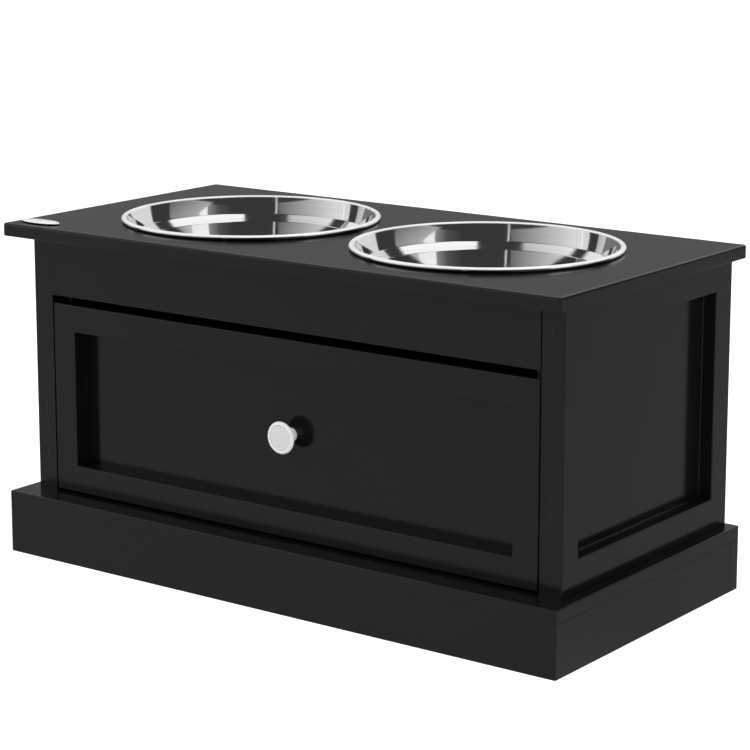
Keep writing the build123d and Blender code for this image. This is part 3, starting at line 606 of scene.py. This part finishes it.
touching = 1e-6  # points this close are one


# The points of each loose part of a node, whose triangles are merged in a copy first.
def looseParts(name):
    build = bmesh.new()
    build.from_mesh(nodes[name].data)
    bmesh.ops.remove_doubles(build, verts=build.verts, dist=touching)
    seen, parts = set(), []
    for first in build.verts:
        if first in seen:
            continue
        seen.add(first)
        waiting, points = [first], []
        while waiting:
            vertex = waiting.pop()
            points.append(vertex.co.copy())
            for edge in vertex.link_edges:
                other = edge.other_vert(vertex)
                if other not in seen:
                    seen.add(other)
                    waiting.append(other)
        parts.append(points)
    build.free()
    return parts


# Where a pin-shaped part starts, which way it points, its length and the radius of its thick and thin ends.
def measurePin(points):
    low = Vector([min(point[i] for point in points) for i in range(3)])
    high = Vector([max(point[i] for point in points) for i in range(3)])
    size = high - low
    along = max(range(3), key=lambda i: size[i])
    middle = (low + high) / 2
    endRadius = {}
    for end in (low[along], high[along]):
        radii = []
        for point in points:
            if abs(point[along] - end) < touching:
                away = point - middle
                away[along] = 0
                radii.append(away.length)
        endRadius[end] = max(radii)
    thick, thin = sorted(endRadius, key=lambda end: -endRadius[end])
    start = middle.copy()
    start[along] = thick
    way = Vector((0, 0, 0))
    way[along] = 1 if thin > thick else -1
    return start, way, size[along], endRadius[thick], endRadius[thin]


# Runs a geometry tree on a seed mesh and returns the plain mesh that it makes.
def grow(tree, seedMesh, inputs):
    seed = bpy.data.objects.new("seed", seedMesh)
    scene.collection.objects.link(seed)
    modifier = seed.modifiers.new("grow", "NODES")
    modifier.node_group = tree
    for item in tree.interface.items_tree:
        if item.item_type == "SOCKET" and item.in_out == "INPUT" and item.name in inputs:
            modifier[item.identifier] = inputs[item.name]
    evaluated = seed.evaluated_get(bpy.context.evaluated_depsgraph_get())
    grown = bpy.data.meshes.new_from_object(evaluated)
    seed.modifiers.remove(modifier)
    bpy.data.objects.remove(seed)
    return grown


# One point for each place, with the way that a copy there points.
def seedPoints(places, ways):
    mesh = bpy.data.meshes.new("seedPoints")
    mesh.from_pydata([tuple(place) for place in places], [], [])
    direction = mesh.attributes.new("way", "FLOAT_VECTOR", "POINT")
    direction.data.foreach_set("vector", [value for way in ways for value in way])
    return mesh


# Grown meshes as one, its doubles merged and its faces turned outwards.
def joinMeshes(name, meshes, material):
    build = bmesh.new()
    for mesh in meshes:
        build.from_mesh(mesh)
    bmesh.ops.remove_doubles(build, verts=build.verts, dist=1e-7)
    bmesh.ops.recalc_face_normals(build, faces=build.faces)
    whole = bpy.data.meshes.new(name)
    build.to_mesh(whole)
    build.free()
    whole.materials.clear()
    whole.materials.append(material)
    return whole


# The last steps of a tree: real geometry with its material.
def finishTree(tree, given, result, shape):
    real = addNode(tree, "GeometryNodeRealizeInstances", {"Geometry": shape}).outputs[0]
    dressed = addNode(tree, "GeometryNodeSetMaterial", {"Geometry": real, "Material": given["Material"]}).outputs[0]
    tree.links.new(dressed, result["Geometry"])


# One copy of the shape on each point, turned to its way.
def placeCopies(tree, given, result, shape):
    way = addNode(tree, "GeometryNodeInputNamedAttribute", {"Name": "way"}, data_type="FLOAT_VECTOR").outputs[0]
    turn = addNode(tree, "FunctionNodeAlignRotationToVector", {"Vector": way}, axis="Z").outputs[0]
    copies = addNode(tree, "GeometryNodeInstanceOnPoints", {
        "Points": given["Geometry"], "Instance": shape, "Rotation": turn}).outputs[0]
    finishTree(tree, given, result, copies)


def lifted(tree, geometry, height, **more):
    place = addNode(tree, "ShaderNodeCombineXYZ", {"Z": height}).outputs[0]
    return addNode(tree, "GeometryNodeTransform", {"Geometry": geometry, "Translation": place, **more}).outputs[0]


screwSettings = {
    "pitch": 0.0016,
    "core": 0.70,  # core's radius, as a share of the thread's
    "threadReach": 0.94,  # share of the shank that the thread covers
    "threadStart": 0.05,
    "tip": 0.0035,
    "tipRadius": 0.0001,
    "sides": 20,
    "turnSides": 14,
    "headSides": 32,
    "panHead": 0.0014,
    "panPitch": 0.8,  # of the others
    "panTip": 0.5,
    "recessWidth": 0.0011,
    "recessReach": 0.60,  # of the head's radius
    "recessDepth": 0.0011,
}


# A wood screw: domed or countersunk head with a cross recess, core, point and a wound thread.
def makeScrewTree():
    tree, given, result = newGroup("screwMaker", "GeometryNodeTree", (
        ("Geometry", "NodeSocketGeometry", None), ("Length", "NodeSocketFloat", 0.03),
        ("Head Radius", "NodeSocketFloat", 0.004), ("Shank Radius", "NodeSocketFloat", 0.002),
        ("Head Height", "NodeSocketFloat", 0.002), ("Domed", "NodeSocketBool", False),
        ("Pitch", "NodeSocketFloat", 0.0016), ("Tip", "NodeSocketFloat", 0.0035),
        ("Material", "NodeSocketMaterial", None)), (("Geometry", "NodeSocketGeometry"),))
    settings = screwSettings
    core = maths(tree, "MULTIPLY", given["Shank Radius"], settings["core"])
    coreEnd = maths(tree, "SUBTRACT", given["Length"], given["Tip"])
    shank = maths(tree, "SUBTRACT", coreEnd, given["Head Height"])
    cylinder = addNode(tree, "GeometryNodeMeshCylinder", {
        "Vertices": settings["sides"], "Radius": core, "Depth": shank})
    middle = maths(tree, "ADD", given["Head Height"], maths(tree, "MULTIPLY", shank, 0.5))
    body = lifted(tree, cylinder.outputs["Mesh"], middle)
    point = addNode(tree, "GeometryNodeMeshCone", {
        "Vertices": settings["sides"], "Radius Bottom": core, "Radius Top": settings["tipRadius"],
        "Depth": given["Tip"]})
    point = lifted(tree, point.outputs["Mesh"], coreEnd)
    rise = maths(tree, "MULTIPLY", shank, settings["threadReach"])
    turns = maths(tree, "DIVIDE", rise, given["Pitch"])
    crest = maths(tree, "SUBTRACT", given["Shank Radius"], core)
    helix = addNode(tree, "GeometryNodeCurveSpiral", {
        "Resolution": settings["turnSides"], "Rotations": turns, "Start Radius": core,
        "End Radius": core, "Height": rise}).outputs[0]
    helix = addNode(tree, "GeometryNodeSetCurveNormal", {"Curve": helix}, mode="Z_UP").outputs[0]
    crestShape = addNode(tree, "GeometryNodeCurvePrimitiveCircle", {"Resolution": 4, "Radius": crest}).outputs[0]
    thread = addNode(tree, "GeometryNodeCurveToMesh", {
        "Curve": helix, "Profile Curve": crestShape, "Fill Caps": True}).outputs[0]
    start = maths(tree, "ADD", given["Head Height"], maths(tree, "MULTIPLY", shank, settings["threadStart"]))
    thread = lifted(tree, thread, start)
    sunk = addNode(tree, "GeometryNodeMeshCone", {
        "Vertices": settings["headSides"], "Radius Bottom": given["Head Radius"], "Radius Top": core,
        "Depth": given["Head Height"]})
    sphere = addNode(tree, "GeometryNodeMeshUVSphere", {
        "Segments": settings["headSides"], "Rings": settings["headSides"] // 2, "Radius": 1.0}).outputs["Mesh"]
    scale = addNode(tree, "ShaderNodeCombineXYZ", {
        "X": given["Head Radius"], "Y": given["Head Radius"], "Z": given["Head Height"]}).outputs[0]
    dome = lifted(tree, sphere, given["Head Height"], Scale=scale)
    position = addNode(tree, "GeometryNodeInputPosition").outputs[0]
    x, y, z = addNode(tree, "ShaderNodeSeparateXYZ", {0: position}).outputs
    seated = addNode(tree, "ShaderNodeCombineXYZ", {
        "X": x, "Y": y, "Z": maths(tree, "MINIMUM", z, given["Head Height"])}).outputs[0]
    dome = addNode(tree, "GeometryNodeSetPosition", {"Geometry": dome, "Position": seated}).outputs[0]
    head = addNode(tree, "GeometryNodeSwitch", {
        "Switch": given["Domed"], "False": sunk.outputs["Mesh"], "True": dome}, input_type="GEOMETRY").outputs[0]
    reach = maths(tree, "MULTIPLY", given["Head Radius"], settings["recessReach"] * 2)
    width, depth = settings["recessWidth"], settings["recessDepth"] * 2
    cross = addNode(tree, "GeometryNodeMeshBoolean", operation="UNION")
    for x, y in ((reach, width), (width, reach)):
        box = addNode(tree, "ShaderNodeCombineXYZ", {"X": x, "Y": y, "Z": depth}).outputs[0]
        bar = addNode(tree, "GeometryNodeMeshCube", {"Size": box}).outputs["Mesh"]
        tree.links.new(bar, cross.inputs["Mesh 2"])
    head = addNode(tree, "GeometryNodeMeshBoolean", {"Mesh 1": head, "Mesh 2": cross.outputs[0]},
                   operation="DIFFERENCE").outputs[0]
    screw = tree.nodes.new("GeometryNodeJoinGeometry")
    for part in (body, point, thread, head):
        tree.links.new(part, screw.inputs[0])
    placeCopies(tree, given, result, screw.outputs[0])
    return tree


dowelSettings = {
    "flutes": 16,
    "fluteDepth": 0.10,  # share of the radius
    "bevel": 0.0012,
    "bevelShare": 0.7,  # of the radius at the very end
    "step": 0.0004,
}


# A wooden dowel with flutes along it and bevelled ends.
def makeDowelTree():
    tree, given, result = newGroup("dowelMaker", "GeometryNodeTree", (
        ("Geometry", "NodeSocketGeometry", None), ("Length", "NodeSocketFloat", 0.024),
        ("Radius", "NodeSocketFloat", 0.003), ("Flutes", "NodeSocketInt", 16),
        ("Flute Depth", "NodeSocketFloat", 0.1), ("Bevel", "NodeSocketFloat", 0.0012),
        ("Material", "NodeSocketMaterial", None)), (("Geometry", "NodeSocketGeometry"),))
    circle = addNode(tree, "GeometryNodeCurvePrimitiveCircle", {
        "Resolution": dowelSettings["flutes"] * 4, "Radius": given["Radius"]}).outputs[0]
    share = addNode(tree, "GeometryNodeSplineParameter").outputs["Factor"]
    angle = maths(tree, "MULTIPLY", share, math.tau)
    wave = maths(tree, "COSINE", maths(tree, "MULTIPLY", angle, given["Flutes"]))
    hollow = maths(tree, "ADD", maths(tree, "MULTIPLY", wave, 0.5), 0.5)
    shrink = maths(tree, "SUBTRACT", 1.0, maths(tree, "MULTIPLY", given["Flute Depth"], hollow))
    position = addNode(tree, "GeometryNodeInputPosition").outputs[0]
    fluted = addNode(tree, "ShaderNodeVectorMath", {0: position, "Scale": shrink}, operation="SCALE").outputs[0]
    section = addNode(tree, "GeometryNodeSetPosition", {"Geometry": circle, "Position": fluted}).outputs[0]
    end = addNode(tree, "ShaderNodeCombineXYZ", {"Z": given["Length"]}).outputs[0]
    line = addNode(tree, "GeometryNodeCurvePrimitiveLine", {"Start": (0, 0, 0), "End": end}).outputs[0]
    line = addNode(tree, "GeometryNodeResampleCurve", {"Curve": line, "Length": dowelSettings["step"]},
                   mode="LENGTH").outputs[0]
    run = addNode(tree, "GeometryNodeSplineParameter").outputs["Length"]
    fromEnd = maths(tree, "MINIMUM", run, maths(tree, "SUBTRACT", given["Length"], run))
    radius = rangeOf(tree, fromEnd, 0.0, given["Bevel"], dowelSettings["bevelShare"], 1.0, "LINEAR")
    dowel = addNode(tree, "GeometryNodeCurveToMesh", {
        "Curve": line, "Profile Curve": section, "Scale": radius, "Fill Caps": True}).outputs[0]
    placeCopies(tree, given, result, dowel)
    return tree


# All pins of a node, grown in groups of one length each.
def growPins(node, tree, fit):
    kinds = {}
    for points in looseParts(node):
        start, way, length, thick, thin = measurePin(points)
        kinds.setdefault((round(length, 5), round(thick, 5), round(thin, 5)), []).append((start, way))
    material = materials[slotOf[node]]
    grown = []
    for (length, thick, thin), rows in sorted(kinds.items()):
        inputs = {"Length": length, "Material": material, **fit(thick, thin)}
        grown.append(grow(tree, seedPoints([row[0] for row in rows], [row[1] for row in rows]), inputs))
    mesh = joinMeshes(node + "_made", grown, material)
    addPiece(node + "_made", mesh, bodyOf[node], node)
    return len(mesh.polygons)


def fitSunkScrew(thick, thin):
    return {"Head Radius": thick, "Shank Radius": thin, "Head Height": thick - thin, "Domed": False,
            "Pitch": screwSettings["pitch"], "Tip": screwSettings["tip"]}


def fitPanScrew(thick, thin):
    return {"Head Radius": thick, "Shank Radius": thin, "Head Height": screwSettings["panHead"], "Domed": True,
            "Pitch": screwSettings["pitch"] * screwSettings["panPitch"],
            "Tip": screwSettings["tip"] * screwSettings["panTip"]}


def fitDowel(thick, thin):
    return {"Radius": thick, "Flutes": dowelSettings["flutes"], "Flute Depth": dowelSettings["fluteDepth"],
            "Bevel": dowelSettings["bevel"]}


screwTree = makeScrewTree()
dowelTree = makeDowelTree()
pinFaces = 0
for tree, fit, names in (
        (screwTree, fitSunkScrew, ("back_screws", "base_screws", "block_screws", "drawer_screws")),
        (screwTree, fitPanScrew, ("bracket_screws", "cabinet_runner_screws", "drawer_runner_screws", "knob_screw")),
        (dowelTree, fitDowel, ("apron_dowels", "drawer_dowels"))):
    pinFaces += sum(growPins(node, tree, fit) for node in names)
print("screws and dowels made,", pinFaces, "faces")


bowl = {
    "bead": 0.0020,  # radius of the rolled rim
    "sheet": 0.0008,
    "rimBand": 0.0114,  # rim to shoulder, seen from above
    "shoulderDepth": 0.0165,
    "ledge": 0.0070,
    "wallDepth": 0.0230,
    "wallTaper": 0.0075,
    "baseBand": 0.0230,
    "baseRise": 0.0016,
    "cornerBend": 0.0120,
    "creaseBend": 0.0015,
    "lipBend": 0.0013,
    "bow": -0.0003,  # how far the upper wall bulges
    "sides": 192,
    "bendSteps": 8,
}


# A line of (radius, height, bend) turned about the Z axis, its corners rounded to their bends.
def makeLatheTree():
    tree, given, result = newGroup("latheMaker", "GeometryNodeTree", (
        ("Geometry", "NodeSocketGeometry", None), ("Path Radius", "NodeSocketFloat", 0.05),
        ("Sides", "NodeSocketInt", 192), ("Bend Steps", "NodeSocketInt", 8),
        ("Material", "NodeSocketMaterial", None)),
        (("Geometry", "NodeSocketGeometry"),))
    line = addNode(tree, "GeometryNodeMeshToCurve", {"Mesh": given["Geometry"]}).outputs[0]
    bend = addNode(tree, "GeometryNodeInputNamedAttribute", {"Name": "bend"}, data_type="FLOAT").outputs[0]
    line = addNode(tree, "GeometryNodeFilletCurve", {
        "Curve": line, "Count": given["Bend Steps"], "Radius": bend, "Limit Radius": True}, mode="POLY").outputs[0]
    path = addNode(tree, "GeometryNodeCurvePrimitiveCircle", {
        "Resolution": given["Sides"], "Radius": given["Path Radius"]}).outputs[0]
    path = addNode(tree, "GeometryNodeSetCurveNormal", {"Curve": path}, mode="Z_UP").outputs[0]
    turned = addNode(tree, "GeometryNodeCurveToMesh", {"Curve": path, "Profile Curve": line}).outputs[0]
    smooth = addNode(tree, "GeometryNodeSetShadeSmooth", {"Geometry": turned}).outputs[0]
    finishTree(tree, given, result, smooth)
    return tree


# The line moved to its right, with its corners kept: the other face of a sheet.
def otherFace(line, amount):
    points = [Vector(row[:2]) for row in line]
    ways = [(end - start).normalized() for start, end in zip(points, points[1:])]
    sides = [Vector((way.y, -way.x)) for way in ways]
    rows = []
    for i, (point, row) in enumerate(zip(points, line)):
        before, after = sides[max(i - 1, 0)], sides[min(i, len(sides) - 1)]
        middle = (before + after).normalized()
        turn = before.x * after.y - before.y * after.x
        place = point + middle * amount / middle.dot(before)
        rows.append((place.x, place.y, max(row[2] + math.copysign(amount, turn), 0) if row[2] else 0))
    return rows


# Points of a slightly bulging wall between two corners of a line.
def bowed(start, end, bulge, steps=6):
    along = Vector(end[:2]) - Vector(start[:2])
    side = Vector((along.y, -along.x)).normalized()
    rows = []
    for i in range(1, steps):
        share = i / steps
        place = Vector(start[:2]) + along * share + side * bulge * 4 * share * (1 - share)
        rows.append((place.x, place.y, 0))
    return rows


# The closed section of a bowl: inner face outwards and up, round the rolled rim, and back under it.
def bowlLine(rim, top, floor):
    shoulder = rim - bowl["rimBand"]
    wall = shoulder - bowl["ledge"]
    foot = wall - bowl["wallTaper"]
    base = foot - bowl["baseBand"]
    lip = rim - 2 * bowl["bead"] - bowl["sheet"] / 2
    shoulderRow = (shoulder, top - bowl["shoulderDepth"], bowl["creaseBend"])
    lipRow = (lip, top, bowl["lipBend"])
    inner = [
        (0, floor + bowl["baseRise"], 0),
        (base, floor + bowl["baseRise"], bowl["creaseBend"]),
        (base + 2 * bowl["baseRise"], floor, bowl["creaseBend"]),
        (foot, floor, bowl["cornerBend"]),
        (wall, top - bowl["wallDepth"], bowl["creaseBend"]),
        shoulderRow,
        *bowed(shoulderRow, lipRow, bowl["bow"])[:-1],
        lipRow,
    ]
    outer = otherFace(inner, bowl["sheet"])
    low = top - 2 * bowl["bead"]
    while outer[-1][1] > low:
        past = outer.pop()
    share = (low - outer[-1][1]) / (past[1] - outer[-1][1])
    crevice = outer[-1][0] + share * (past[0] - outer[-1][0])
    roll = bowl["bead"] * 0.999  # just under the half height, so that both bends fit
    bead = [(rim, top, roll), (rim, low, roll), (crevice, low, bowl["sheet"] / 2)]
    return inner + bead + outer[::-1]


# Turns a line of (radius, height, bend) about the Z axis and puts it in a node's place.
def makeTurned(node, line, turn, settings, material):
    pathRadius = 0.05  # the line is drawn this far out, where the sweep starts
    mesh = bpy.data.meshes.new("line")
    places = [(row[0] - pathRadius, -row[1], 0) for row in line]
    mesh.from_pydata(places, [(i, i + 1) for i in range(len(places) - 1)], [])
    mesh.attributes.new("bend", "FLOAT", "POINT").data.foreach_set("value", [row[2] for row in line])
    grown = grow(latheTree, mesh, {
        "Path Radius": pathRadius, "Sides": settings["sides"], "Bend Steps": settings["bendSteps"],
        "Material": material})
    grown.transform(turn)
    whole = joinMeshes(node + "_turned", [grown], material)
    addPiece(node + "_turned", whole, bodyOf[node], node)
    print(node, "turned,", len(whole.polygons), "faces")


def makeBowl(node):
    low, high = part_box(node)
    line = bowlLine((high.x - low.x) / 2, high.z, low.z + bowl["sheet"])
    place = Matrix.Translation(((low.x + high.x) / 2, (low.y + high.y) / 2, 0))
    makeTurned(node, line, place, bowl, steelOf[node])


latheTree = makeLatheTree()
makeBowl("bowl_left")
makeBowl("bowl_right")


knob = {
    # head: (radius, depth behind the front, bend), where None is the widest radius of all
    "head": ((0, 0.0003, 0), (0.0110, 0.0003, 0.0002),  # face
             (0.0110 + 0.0005 / 3, 0.0012, 0),  # groove
             (0.0115, 0, 0.0004), (0.0128, 0, 0.0010), (None, 0.0016, 0.0008),  # ring
             (0.0137, 0.0029, 0.0004), (0.0055, 0.0038, 0.0010), (0.0040, 0.0053, 0.0010)),  # back and throat
    # foot: (radius, height above the base, bend)
    "foot": ((0.0040, 0.0036, 0.0008), (0.0063, 0.0022, 0.0009), (0.0063, 0, 0.0003), (0, 0, 0)),
    "sides": 96,
    "bendSteps": 6,
}


def makeKnob(node):
    low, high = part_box(node)
    front, widest = high.y - low.y, (high.x - low.x) / 2
    head = [(widest if radius is None else radius, front - depth, bend) for radius, depth, bend in knob["head"]]
    foot = list(knob["foot"])
    place = Matrix.Translation(((low.x + high.x) / 2, high.y, (low.z + high.z) / 2))
    turn = place @ Matrix.Rotation(math.radians(90), 4, "X")
    makeTurned(node, head + foot, turn, knob, materials["chrome"])


makeKnob("knob")


plate = {
    "middle": (-0.2715, -0.1305),
    "length": 0.0445,
    "depth": 0.018,
    "thickness": 0.0017,
    "crown": 0.0004,  # the middle stands this much above the rim
    "groove": 0.0003,
    "sides": 96,
    # rings of the upper face, as shares of the outline: (share, height share, in the groove)
    "rings": ((1.0, 0.0, 0), (1.0, 0.75, 0), (0.985, 0.93, 0), (0.96, 1.0, 0), (0.87, 1.0, 0), (0.85, 1.0, 1),
              (0.82, 1.0, 1), (0.80, 1.0, 0), (0.60, 1.0, 0), (0.35, 1.0, 0), (0.12, 1.0, 0)),
    "dull": (0.80, 0.80, 0.79, 1),
    "bright": (0.86, 0.86, 0.85, 1),
    # painted shade: the plate's upright sides, standing in for the shade below its edge
    "upright": (0.004, 0.004, 0.004, 1),
    "gloss": 0.2,
}


# A blank oval plate on the top board, with a shallow groove inside its rim.
def makePlate():
    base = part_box("top_board")[1].z
    build = bmesh.new()
    rings = []
    for share, high, sunk in plate["rings"]:
        crown = plate["crown"] * (1 - share ** 2)
        z = base + high * plate["thickness"] + (crown if high == 1.0 else 0) - sunk * plate["groove"]
        ring = []
        for i in range(plate["sides"]):
            angle = math.tau * i / plate["sides"]
            x = plate["middle"][0] + share * plate["length"] / 2 * math.cos(angle)
            y = plate["middle"][1] + share * plate["depth"] / 2 * math.sin(angle)
            ring.append(build.verts.new((x, y, z)))
        rings.append(ring)
    for lower, upper in zip(rings, rings[1:]):
        for i in range(plate["sides"]):
            j = (i + 1) % plate["sides"]
            build.faces.new((lower[i], lower[j], upper[j], upper[i]))
    build.faces.new(rings[-1])
    build.faces.new(rings[0][::-1])
    bmesh.ops.recalc_face_normals(build, faces=build.faces)
    for face in build.faces:
        face.smooth = True
    mesh = bpy.data.meshes.new("blank_plate")
    build.to_mesh(mesh)
    build.free()
    mesh.materials.append(makePlastic("whitePlate", plate["dull"], plate["bright"], plate["gloss"], plate["upright"]))
    addPiece("blank_plate", mesh, bodyOf["top_board"])


makePlate()
print("plate made")
